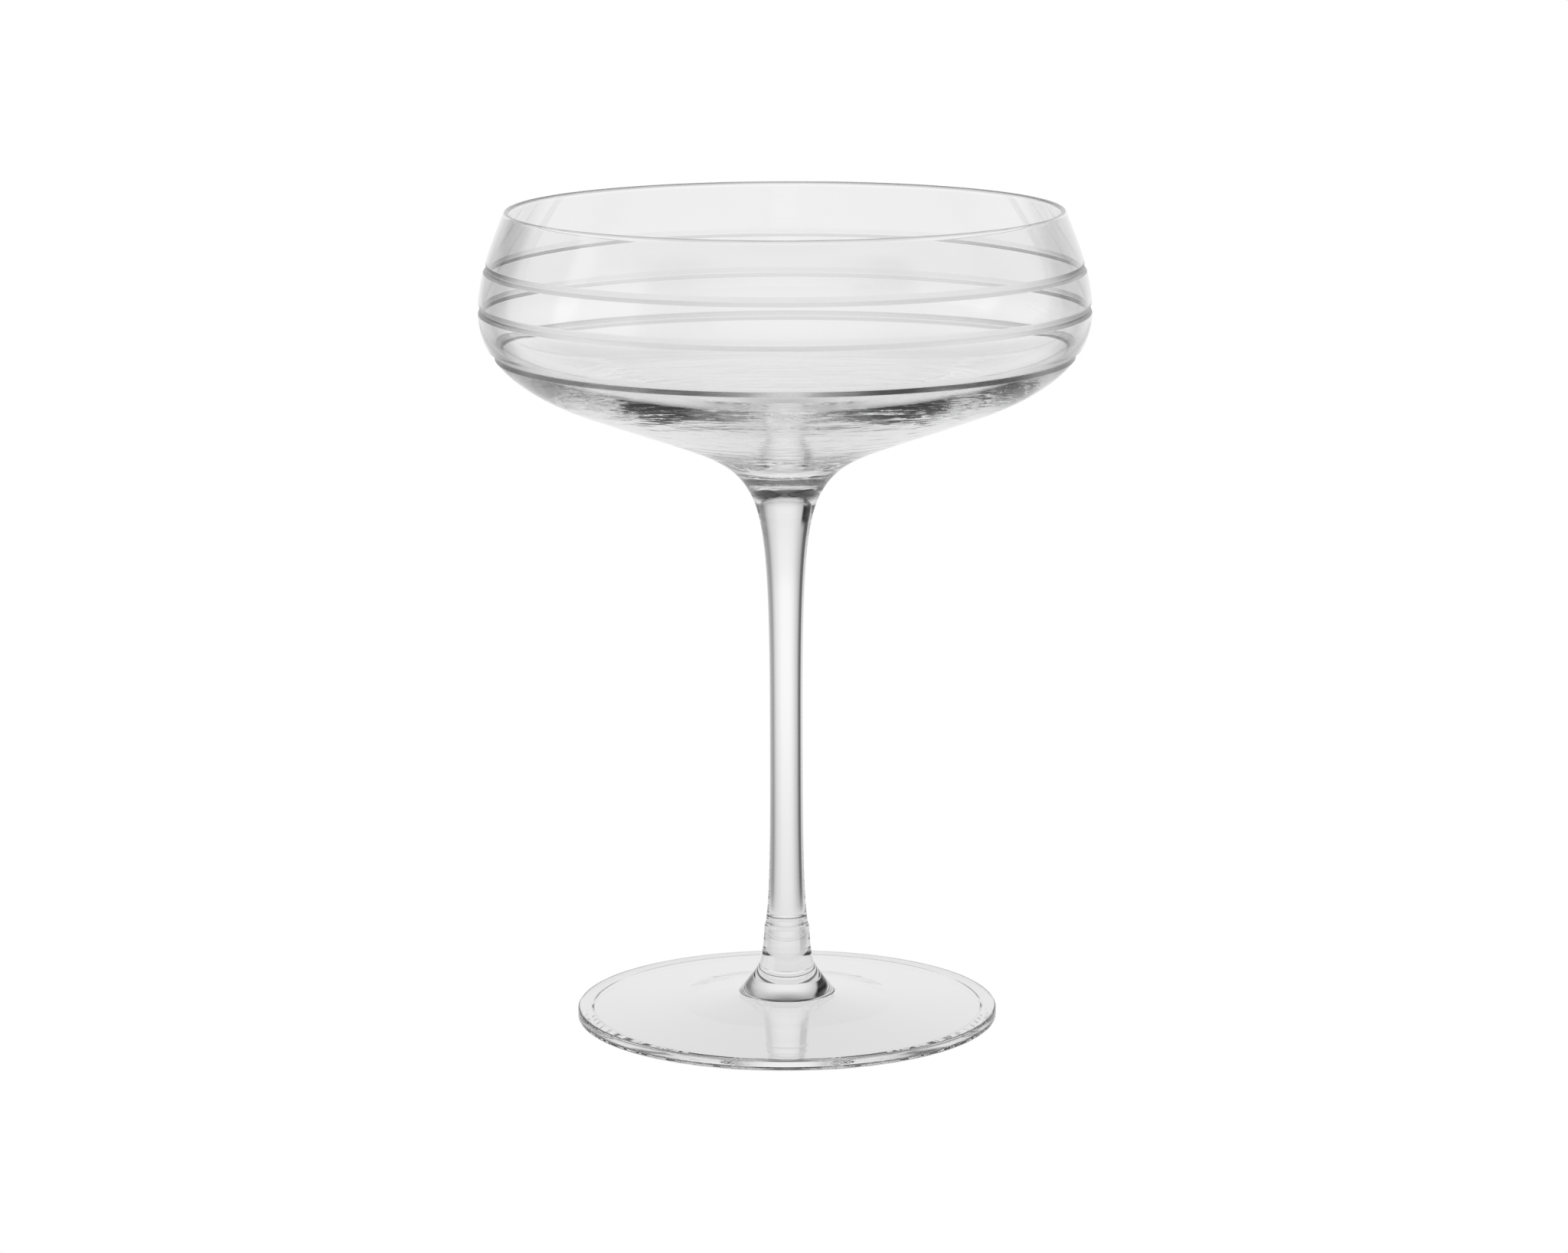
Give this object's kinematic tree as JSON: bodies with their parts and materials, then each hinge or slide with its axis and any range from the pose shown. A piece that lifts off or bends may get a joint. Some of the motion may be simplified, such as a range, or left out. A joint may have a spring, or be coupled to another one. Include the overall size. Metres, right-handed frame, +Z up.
{
  "type": "coupe glass",
  "caption": "Stemmed drinking glass with a wide shallow bowl, ring cuts round its wall, a slim drawn stem and a round foot, for sparkling drinks and cocktails.",
  "frame": {"origin": "centre of the flat ring under the foot, on the plane of the table", "axes": "+Z up along the axis the glass is turned about; +X to the right and -Y towards the viewer in the picture"},
  "size_m": [0.1146, 0.1146, 0.155],
  "materials": {
    "bowl_crystal": "clear, blown thin and fire polished, with ring cuts polished to a faint satin",
    "stem_crystal": "clear, drawn solid and fire polished",
    "foot_crystal": "clear, pressed and fire polished"
  },
  "bodies": {
    "root": {"bowl": "bowl_crystal", "stem": "stem_crystal", "foot": "foot_crystal"}
  },
  "joints": []
}
